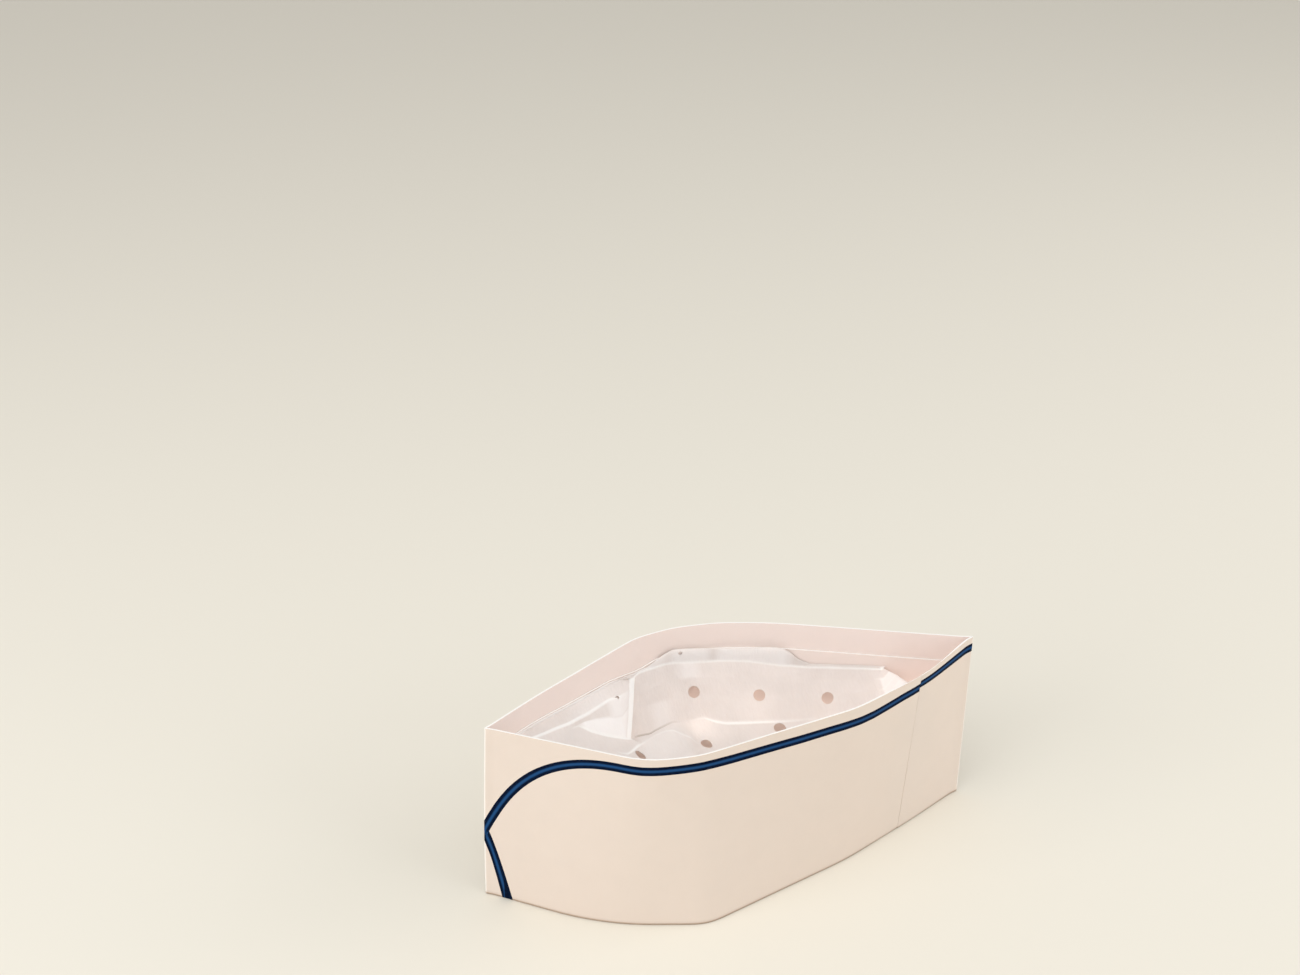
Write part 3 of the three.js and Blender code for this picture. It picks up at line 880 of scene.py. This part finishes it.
@dataclass
class TissueCrown:
    """The crepe tissue crown, which hangs as a trough between the two walls."""

    band: SideBand
    tissue: float = 0.28
    wall_gap: float = 0.35
    stretches: tuple[tuple[float, float, int], ...] = (
        (-121, -55, 67), (-53, -48.3, 14), (-47.725, -46, 4), (-45.8, -45.2, 4), (-44.8, 85.5, 131),
        (86, 93, 13),
    )
    fold_gap: float = 0.25
    wall_samples: tuple[int, int] = (160, 20)
    crinkle: float = 0.20
    soft_pitch: Triple = (0.05, 0.035, 0.05)
    crease_pitch: Triple = (0.09, 0.06, 0.09)
    crease_seed: Triple = (0.0, 0.0, 7.0)
    crease_mean: float = 0.4
    crease_power: int = 6
    lifts: Triple = (1.6, 1.5, 0.35)
    fine_pitch: Triple = (0.20, 0.6, 0.2)
    # How far the painted fold highlight and shade spread from a fold.
    fold_paint_reach: float = 1.5
    # Painted highlight along the margins: the far margin is stronger ahead of far_pale_to, the near one
    # faint.
    far_pales: tuple[float, float] = (0.6, 0.15)
    far_pale_to: float = -30.0
    near_pale: float = 0.3
    white_blur: float = 0.12
    smoothing: float = 0.3
    hole_reach: float = 1.2
    sharp_deg: float = 60.0
    # A painted highlight along the flap's edge, on the lines of flap_lines, at the stations of flap_edge.
    flap_edge: tuple[float, float] = (-48.3, -46.0)
    flap_lines: tuple[float, float] = (1.0, 4.0)
    flap_pale: float = 0.9
    pleat: tuple[float, float] = (-46.3, -45.1)
    far_margin: tuple[Triple, ...] = (
        (-121, 86.4, 0), (-111, 86.4, 0), (-100, 86.2, 0), (-83.6, 85, 0), (-69, 84.4, 0), (-54.4, 83.8, 0),
        (-37.3, 80.6, 0), (-32.7, 80.9, 0), (-28.5, 81.6, 0), (-24.3, 83.6, 0), (-19.2, 86.4, 0.2),
        (-14.3, 88, 0.3), (-7, 87.4, 0.3), (5.6, 86, 0.5), (22.4, 85.9, 1.3), (36.4, 86.9, 1.5),
        (43, 86.4, 1), (47, 83.8, 0.5), (51, 79.8, 0.2), (57, 77.2, 0.1), (82, 78.6, 0), (93, 79, 0),
    )
    near_margin: Pairs = ((-121, 85.5), (-60, 84), (-20, 83.5), (60, 83.5), (93, 84))
    folds: tuple[FoldLine, ...] = (
        FoldLine("ridge", (
            (-121, -60, 85.6), (-111, -60, 85.2), (-100, -60, 85), (-83.6, -60, 83.7), (-69, -60, 83.2),
            (-56, -60, 82.6, 1), (-52, -60, 81.7, 4, 0.2), (-48.3, -45.3, 80.5, 7.9, 0.7),
            (-46, -46.2, 80.1, 8, 0.9), (-45.7, -46.4, 78.8, 4.7, 0.4), (-45.2, -47.5, 78.6, 7.6, 0.5),
            (-38, -60, 80.2, 4, 0.8), (-30, -60, 80.2, 1, 0.8), (-26, -60, 80.2, 0, 0.8),
            (-17.5, -60, 80.5, 0, 0.6), (-8.6, -60, 79.1, 0, 0.6), (4.7, -60, 77.8, 0, 0.6),
            (25.6, -60, 77.3, 0, 0.6), (42.7, -60, 75, 0, 0.6), (55.3, -60, 75.2, 0, 0.6),
            (81, -60, 76.8, 0, 0.6), (89, -16.5, 77.3, 1.5, 0.9), (93, -15.2, 78.4, -1.5, 0.9),
        )),
        FoldLine("flap_fold", (
            (-121, 1, 86.2, 0, 0.3), (-104.5, -3.6, 85.2, 0, 0.8), (-94.3, -8, 84.2, 0, 0.9),
            (-83.8, -12.5, 83.2, 0, 0.95), (-70.5, -20, 82.2, 0, 0.9), (-56.8, -30, 80.7, 0, 0.85),
            (-52, -32.6, 79.6, 1.7, 0.5), (-48.3, -39.7, 77.5, 5.7), (-46, -40.5, 76.5, 5.8),
            (-45.7, -41, 74.3, 2), (-45.2, -43, 73.6, 6.2), (-38, -45.5, 72.5, 2), (-26, -47.5, 73),
            (-5, -47.8, 72.6), (26, -39.4, 71), (60, -27.4, 70), (83, -14.5, 73, 2),
            (89, -10.5, 75.2, 1, 0.4), (93, -9, 80.2, -1, 0.2),
        )),
        FoldLine("flap_crease", (
            (-121, 2, 85.8), (-104.5, -1, 84.4), (-84, -10.5, 82.3), (-78.5, -14.6, 80, 0, 0.1),
            (-73.6, -17, 79.5, 0, 0.1), (-67.1, -19, 78.5), (-59.1, -20.2, 77), (-56.9, -20, 76.5),
            (-52, -21.9, 75, -0.6), (-48.3, -31.5, 73.5, 2.5), (-46, -32.2, 72.5, 2.7),
            (-45.7, -32.8, 68.8, -0.9), (-45.2, -37, 67.5, 4.2), (-38, -40.5, 65.5, 1),
            (-26, -41.6, 65.5), (-5, -41.9, 65), (26, -31.2, 64), (60, -19.7, 63), (83, -8, 70, 2),
            (88, -5, 72.6, 0, 0.3), (93, -3, 81.8, -0.3, 0.2),
        )),
        # The keel's stops below 0 paint shade into the crease under the flap.
        FoldLine("keel", (
            (-121, 3, 85.4), (-104.5, 1, 83.6), (-84, -9.5, 81.6), (-78.4, -15, 79.4, 0, 0.5),
            (-72, -12.6, 76, 0, 0.8), (-64.7, -12.1, 72.5, 0, 0.9), (-56.7, -12.4, 69, 0, 0.9),
            (-52, -12.6, 67.6, -1.6, 0.9), (-48.3, -13, 67, -4.5, 0.9), (-46, -13.7, 66, -4.6, 0.9),
            (-45.7, -14.5, 62, -6.8, 0.3), (-45.2, -23, 58.5, -1.3), (-43, -24.5, 58.3, 0, -1),
            (-36, -25, 57.8, 0, -1), (-29.2, -28.7, 57.7, 0, -0.8), (-21.3, -32.8, 57, 0, -0.5),
            (-17, -33, 56, 0, -0.2), (-11.1, -33.7, 55, 0, 0.1), (-3.6, -32.6, 56, 0, 0.4),
            (0.7, -28.8, 55.2, 0, 0.9), (6.3, -25.6, 55, 0, 0.9), (18.5, -21.9, 55, 0, 0.8),
            (29.9, -19.1, 55, 0, 0.7), (44, -15.5, 55.2, 0, 0.3), (60, -12, 56), (83, -2.5, 66, 1),
            (87, 0.4, 70, -1, 0.2), (93, 3, 83, 0, 0.2),
        )),
        FoldLine("bulge", (
            (-121, 4, 85.2), (-104.5, 4, 83.4), (-90.2, -2, 79.4), (-80.6, -2.3, 76), (-70.8, -0.8, 73),
            (-63.2, 0, 70), (-56.7, 1, 68, 0, 0.6), (-52, -4, 66, 0, 0.8), (-48.1, -9.1, 64, 0, 0.8),
            (-42.8, -14, 62, 0, 0.3), (-35.5, -19.5, 61, 0, 0.2), (-29.4, -21.2, 61.2, 0, 0.4),
            (-25, -21, 61, 0, 0.5), (-17.5, -17.6, 57, 0, 0.4), (-13, -14.5, 53.4, 0, 0.1),
            (-5, -15, 51.2), (18, -12, 52.4), (45, -8, 53.4), (60, -4, 54.4), (83, 4, 63),
            (86.5, 7, 68, 0, 0.1), (93, 9.2, 84, 0.4, 0.3),
        )),
        FoldLine("floor", (
            (-121, 5, 85), (-104.5, 7.5, 83.6), (-90.2, 6, 80), (-80.6, 7, 77), (-70.8, 9, 73.8),
            (-63.2, 10, 71.5), (-56.7, 10, 69.5, 0, 0.5), (-48, 2, 62, 0, 0.1), (-30, -2, 57),
            (-14, 0, 51.5), (0, 1, 49.8), (45, 2, 51), (60, 4, 53), (83, 10, 63),
            (86.5, 12, 68, 0, 0.1), (93, 14, 84.2, 0.2, 0.8),
        )),
        FoldLine("rise", (
            (-121, 6, 84.6), (-104.5, 12, 83), (-84, 20, 78), (-68, 22, 74), (-48, 23, 68, 0, 0.2),
            (-30, 23, 65, 0, 0.2), (0, 24, 63, 0, 0.2), (45, 20, 64, 0, 0.2), (60, 19, 66, 0, 0.1),
            (83, 17, 70), (86.5, 17, 72.5, 0, 0.1), (93, 18, 84.2, 0, 0.6),
        )),
    )
    strip_columns: tuple[int, ...] = (10, 13, 11, 12, 14, 16, 24, 24)
    # Patches painted whiter, partly where the tissue lies on itself, partly as painted light on facets that
    # face the light.
    doubled_and_lit: tuple[DoubledAndLit, ...] = (
        DoubledAndLit(3, 4, -79, -46.2, 1, 5), DoubledAndLit(2, 3, -60, -46.2, 0.6, 4), DoubledAndLit(0, 1, 7, 50, 1, 6),
        DoubledAndLit(0, 2, -85, -46.5, 0.35, 14), DoubledAndLit(4, 6, -50, -16, 0.3, 6),
        DoubledAndLit(2, 5, 86.5, 93.5, 0.7, 1), DoubledAndLit(0, 1, -44, -14, 0.5, 6), DoubledAndLit(0, 1, -18, 10, 0.8, 6),
        DoubledAndLit(1, 2, -14, 2, 0.45, 6), DoubledAndLit(3, 4, -34, -18, 0.3, 5),
    )
    holes: tuple[VentHole, ...] = (
        VentHole((-42.9, -5.6, 66.2)), VentHole((-31.5, 27.2, 65.2)), VentHole((-18.7, 61.7, 63.2)),
        VentHole((-1.4, -50.4, 62.8)), VentHole((-14.7, -9.2, 51)), VentHole((-14, 32.1, 54)),
        VentHole((-7, 68.5, 57)), VentHole((-32, -53.2, 79), 1.1), VentHole((-52.5, -9.5, 85), 1.2),
    )

    def wall_x(self, hand: Hand, stations: Array, height: Array, clear: Array) -> Array:
        """Finds where the band's inner face stands.

        Args:
            hand: the wall.
            stations: y of each point.
            height: its height.
            clear: how far it stays off the inner face.

        Returns:
            The x of each point.
        """
        band = self.band
        long, short = self.wall_samples
        if hand is Hand.RIGHT:
            along = np.linspace(band.back_crease, band.front_crease, long)
        else:
            along = np.r_[np.linspace(band.front_crease, band.along[-1], long),
                          np.linspace(1.0, band.back_crease, short)]
        found = np.empty_like(stations)
        for k, (y, z, off) in enumerate(zip(stations, height, clear)):
            inset = 2 * band.ply_pitch + self.wall_gap + off
            plan = band.wall_at(along, np.full(along.shape, z), np.full(along.shape, inset))
            order = np.argsort(plan[:, 1])
            found[k] = np.interp(y, plan[order, 1], plan[order, 0])
        return found

    def net(self, stations: Array) -> tuple[Array, Array]:
        """Draws every fold at every station.

        Args:
            stations: the y of each section.

        Returns:
            Points and painted fold light shares, by station and by fold, with the two margins first and
            last.
        """
        far_up, off = read_table(self.far_margin, stations)
        near_up = read_table(self.near_margin, stations)[0]
        none = np.zeros_like(stations)
        far_pale = np.where(stations < self.far_pale_to, *self.far_pales)
        lines = [(self.wall_x(Hand.RIGHT, stations, far_up, off), stations, far_up, far_pale)]
        for k, fold in enumerate(self.folds):
            x, up, aft, pale = fold.at(stations)
            y = stations + aft
            low = self.wall_x(Hand.RIGHT, y, up, none + self.fold_gap * (k + 1))
            high = self.wall_x(Hand.LEFT, y, up, none + self.fold_gap * (len(self.folds) - k))
            lines.append((np.clip(x, low, np.maximum(high, low)), y, up, pale))
        near_x = self.wall_x(Hand.LEFT, stations, near_up, none)
        lines.append((near_x, stations, near_up, none + self.near_pale))
        net = np.array(lines).transpose(2, 0, 1)
        return net[..., :3], net[..., 3]

    def surface(self, stations: Array) -> tuple[Array, Array, Array]:
        """Spreads the tissue between its folds.

        Args:
            stations: the y of each section.

        Returns:
            Points by station and column, the painted highlight (painted shade below 0) that the nearest fold
            spreads, and the net's line, with a fraction between two lines.
        """
        net, pales = self.net(stations)
        points, pale, line = [net[:, :1]], [pales[:, :1]], [np.zeros(1)]
        for k, count in enumerate(self.strip_columns):
            t = np.linspace(0.0, 1.0, count + 1)[1:]
            points.append(net[:, k:k + 1] * (1 - t[:, None]) + net[:, k + 1:k + 2] * t[:, None])
            width = np.linalg.norm(net[:, k + 1] - net[:, k], axis=1)[:, None]
            first = np.clip(1 - t * width / self.fold_paint_reach, 0.0, 1.0) * pales[:, k:k + 1]
            second = np.clip(1 - (1 - t) * width / self.fold_paint_reach, 0.0, 1.0) * pales[:, k + 1:k + 2]
            pale.append(np.where(np.abs(first) >= np.abs(second), first, second))
            line.append(k + t)
        return np.concatenate(points, axis=1), np.concatenate(pale, axis=1), np.concatenate(line)

    def stations(self) -> Array:
        """Chooses the sections, closer together where the flap steps down into the trough."""
        return np.concatenate([np.linspace(*stretch) for stretch in self.stretches])

    def whiteness(self, stations: Array, line: Array) -> Array:
        """Finds how much whiter each point is painted, for tissue lying on itself and as painted light, by
        station and column.
        """
        white = np.zeros((len(stations), len(line)))
        for patch in self.doubled_and_lit:
            along = np.minimum(stations - patch.start, patch.end - stations) / patch.fade
            across = np.minimum(line - patch.first, patch.last - line) / self.white_blur + 0.5
            share = np.clip(along, 0.0, 1.0)[:, None] * np.clip(across, 0.0, 1.0)[None, :]
            white = np.maximum(white, patch.white * share)
        return white

    def punch(self, bm: BMesh) -> None:
        """Punches the vent holes, each drawn out to a true circle in the tissue's own plane."""
        for hole in self.holes:
            heart = min(bm.verts, key=lambda v: (v.co - Vector(hole.place)).length)
            centre = heart.co.copy()
            lost = {f for v in bm.verts if (v.co - centre).length < hole.radius for f in v.link_faces
                    if (f.calc_center_median() - centre).length < hole.radius}
            bmesh.ops.delete(bm, geom=list(lost), context="FACES")
            for vert in bm.verts:
                away = vert.co - centre
                if vert.is_boundary and 0.0 < away.length < hole.radius + self.hole_reach:
                    vert.co = centre + away.normalized() * hole.radius

    def build(self) -> Object:
        """Folds, crinkles and punches the tissue.

        Returns:
            The finished crown.
        """
        stations = self.stations()
        points, pale, line = self.surface(stations)
        # Painted highlight along the flap's edge, where it stands out above the trough.
        strip = (stations >= self.flap_edge[0]) & (stations <= self.flap_edge[1])
        lit = (line >= self.flap_lines[0]) & (line <= self.flap_lines[1])
        pale = np.where(strip[:, None] & lit[None, :], np.maximum(pale, self.flap_pale), pale)
        white = self.whiteness(stations, line)
        rows, columns = pale.shape
        bm = grid_sheet(np.arange(columns, dtype=float), np.arange(rows, dtype=float))
        # The fold attribute carries the painted fold highlight, and below 0 the painted shade.
        fold_light_shade = bm.verts.layers.float.new("fold_light_shade")
        doubled_and_lit = bm.verts.layers.float.new("doubled_and_lit")
        loose = []
        for vert in bm.verts:
            column, row = round(vert.co.x), round(vert.co.y)
            vert[fold_light_shade] = float(pale[row, column])
            vert[doubled_and_lit] = float(white[row, column])
            vert.co = points[row, column]
            if not vert.is_boundary and not self.pleat[0] < stations[row] < self.pleat[1]:
                loose.append(vert)
        axes = {f"use_axis_{axis}": True for axis in "xyz"}
        for _ in range(2):
            bmesh.ops.smooth_vert(bm, verts=loose, factor=self.smoothing, **axes)
        bm.normal_update()
        self.crumple(loose)
        self.punch(bm)
        bmesh.ops.recalc_face_normals(bm, faces=bm.faces)
        if sum(f.normal.z for f in bm.faces) < 0:
            bmesh.ops.reverse_faces(bm, faces=bm.faces)
        piece = mesh_object(bm, "tissue_crown")
        ply = piece.modifiers.new("tissue", "SOLIDIFY")
        ply.thickness = self.tissue * MM
        ply.offset = 0.0
        piece.data.materials.append(CrepeFinish("crepe_tissue").material())
        harden(piece, self.sharp_deg)
        return piece

    def crumple(self, verts: Iterable[BMVert]) -> None:
        """Moves the tissue off its flat facets, in soft creases and fine crinkles."""
        for vert in verts:
            soft, fold, fine = (vert.co * Vector(pitch) for pitch in
                                (self.soft_pitch, self.crease_pitch, self.fine_pitch))
            crease = 1 - abs(noise.noise(fold + Vector(self.crease_seed)))
            ridge = crease ** self.crease_power - self.crease_mean
            lift = Vector((noise.noise(soft), ridge, noise.noise(fine))).dot(Vector(self.lifts))
            vert.co += vert.normal * lift * self.crinkle


# The studio

@dataclass(frozen=True)
class Lamp:
    """A lamp: where it hangs in metres, its power in watts, and its side if it is a square one."""

    name: str
    place: Triple
    power: float
    size: float = 1.2


@dataclass(frozen=True)
class Studio:
    """The plain floor, soft lights and camera."""

    camera_at: Triple = (0.62907, -0.25499, 0.54493)
    look: tuple[float, float] = (-0.9484375, 0.3169641)
    pitch_deg: float = 26.4587
    lens: float = 44.31
    floor_size: float = 12.0
    sky: Colour = (1.0, 0.985, 0.96)
    sky_strength: float = 0.66
    lights: tuple[Lamp, ...] = (
        Lamp("top", (0.85, -0.85, 1.85), 13.0, 1.5), Lamp("front", (0.45, -1.75, 0.7), 12.0),
        Lamp("side", (1.5, 1.5, 0.8), 9.5), Lamp("back", (0.3, 1.9, 1.0), 8.5),
    )
    glows: tuple[Lamp, ...] = (
        Lamp("glow_0", (-0.026, -0.060, 0.046), 0.006), Lamp("glow_1", (-0.031, -0.008, 0.044), 0.0105),
        Lamp("glow_2", (-0.029, 0.026, 0.046), 0.0060), Lamp("glow_3", (-0.018, 0.061, 0.046), 0.0050),
        Lamp("glow_4", (0.0, 0.102, 0.057), 0.0075),
    )
    glow_colour: Colour = (1.0, 0.88, 0.81)
    glow_radius: float = 0.010

    def floor(self) -> None:
        """Lays the floor."""
        bm = bmesh.new()
        bmesh.ops.create_grid(bm, x_segments=1, y_segments=1, size=self.floor_size / 2 / MM)
        floor = mesh_object(bm, "floor")
        floor.data.materials.append(FloorFinish("floor_card").material())

    def camera(self) -> None:
        """Sets the camera where the photograph was taken."""
        data = bpy.data.cameras.new("camera")
        data.lens = self.lens
        data.sensor_width = 36.0
        data.clip_start = 0.01
        camera = bpy.data.objects.new("camera", data)
        bpy.context.scene.collection.objects.link(camera)
        pitch = math.radians(self.pitch_deg)
        forward = Vector((self.look[0] * math.cos(pitch), self.look[1] * math.cos(pitch), -math.sin(pitch)))
        camera.location = self.camera_at
        camera.rotation_euler = forward.to_track_quat("-Z", "Y").to_euler()
        bpy.context.scene.camera = camera

    def hang(self, lamp: Lamp, kind: str) -> Object:
        """Hangs a lamp that faces the hat.

        Args:
            lamp: what to hang.
            kind: AREA for a square soft light, or POINT.

        Returns:
            The lamp's object.
        """
        data = bpy.data.lights.new(lamp.name, kind)
        data.energy = lamp.power
        piece = bpy.data.objects.new(lamp.name, data)
        piece.location = lamp.place
        piece.rotation_euler = (-Vector(lamp.place)).to_track_quat("-Z", "Y").to_euler()
        bpy.context.scene.collection.objects.link(piece)
        return piece

    def build(self) -> None:
        """Sets up the studio, with small lamps under the crown for the light that tissue lets through."""
        self.floor()
        self.camera()
        for lamp in self.lights:
            self.hang(lamp, "AREA").data.size = lamp.size
        for lamp in self.glows:
            glow = self.hang(lamp, "POINT")
            glow.data.color = self.glow_colour
            glow.data.shadow_soft_size = self.glow_radius
            glow.visible_camera = False
        world = bpy.data.worlds.new("soft_sky")
        world.use_nodes = True
        sky = world.node_tree.nodes["Background"]
        sky.inputs["Color"].default_value = (*self.sky, 1.0)
        sky.inputs["Strength"].default_value = self.sky_strength
        scene = bpy.context.scene
        scene.world = world
        scene.view_settings.view_transform = "Standard"


def main() -> None:
    """Builds the studio and the hat's pieces, and ties them to the frame."""
    logging.basicConfig(level=logging.INFO, format="%(name)s: %(message)s")
    Studio().build()
    band = SideBand(Footprint(), Stripe())
    wall, crown = band.build(), TissueCrown(band).build()
    for piece, node, slot in ((wall, "side_band", "band_paper"), (crown, "crown", "crown_tissue")):
        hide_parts(node)
        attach(piece, BODY)
        log.info("%s: %d faces", piece.name, len(piece.data.polygons))


if __name__ == "__main__":
    main()
